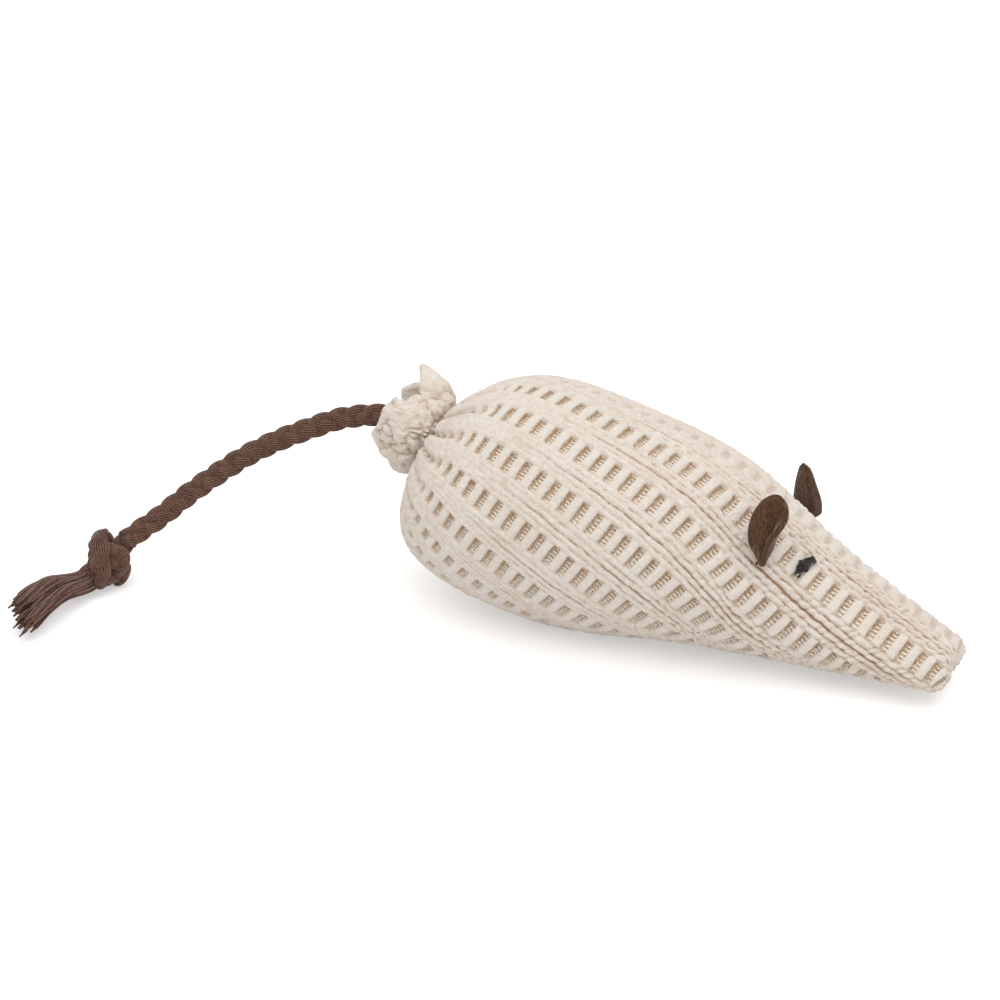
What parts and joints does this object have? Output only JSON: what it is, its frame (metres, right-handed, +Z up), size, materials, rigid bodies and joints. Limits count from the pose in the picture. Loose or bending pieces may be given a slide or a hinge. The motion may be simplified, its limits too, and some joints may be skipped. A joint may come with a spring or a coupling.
{
  "type": "catnip mouse",
  "caption": "Soft catnip mouse: a stuffed ribbed body gathered into a ruffle, folded felt ears, thread eyes, and a knotted, frayed cord tail that swings and lifts.",
  "frame": {"origin": "middle of the belly flat, on the surface that the mouse lies on", "axes": "+X to the nose, +Y to the mouse's left, +Z up"},
  "size_m": [0.1717, 0.0808, 0.0444],
  "materials": {
    "chenille": "soft cream chenille pile on a beige woven ground",
    "fibre": "loose white polyester fibre",
    "catnip": "dry crushed leaf",
    "cream_thread": "strong twisted thread",
    "cord": "dark brown braided cotton",
    "felt": "dark brown felt with a fine fibre nap",
    "brown_thread": "sewing thread",
    "black_thread": "black embroidery thread"
  },
  "bodies": {
    "body": {"body_cover": "chenille", "rear_fibre_wad": "fibre", "catnip_charge": "catnip", "front_fibre_wad": "fibre", "rear_ruffle": "chenille", "gather_tie": "cream_thread", "tail_anchor": "cord", "left_ear_stitch": "brown_thread", "left_eye": "black_thread", "right_ear_stitch": "brown_thread", "right_eye": "black_thread"},
    "tail_base": {"tail_root": "cord"},
    "tail": {"tail_cord": "cord", "tail_knot": "cord", "tail_tassel": "cord"},
    "left_ear": {"left_ear": "felt"},
    "right_ear": {"right_ear": "felt"}
  },
  "joints": [
    {"name": "tail_swing", "type": "hinge", "parent": "body", "child": "tail_base", "pos_m": [-0.03864, 0.00002, 0.03168], "axis": [0, 0, 1], "range_deg": [-25, 25], "stiffness_Nm_per_rad": 0.006},
    {"name": "tail_lift", "type": "hinge", "parent": "tail_base", "child": "tail", "pos_m": [-0.04311, 0.00001, 0.03209], "axis": [0, 1, 0], "range_deg": [0, 50], "stiffness_Nm_per_rad": 0.006},
    {"name": "left_ear_fold", "type": "hinge", "parent": "body", "child": "left_ear", "pos_m": [0.03732, 0.01625, 0.02084], "axis": [-0.9212, 0.3881, 0.0263], "range_deg": [-12, 60], "stiffness_Nm_per_rad": 0.002},
    {"name": "right_ear_fold", "type": "hinge", "parent": "body", "child": "right_ear", "pos_m": [0.03888, -0.01264, 0.02555], "axis": [0.8494, 0.5118, -0.1289], "range_deg": [-12, 60], "stiffness_Nm_per_rad": 0.002}
  ]
}
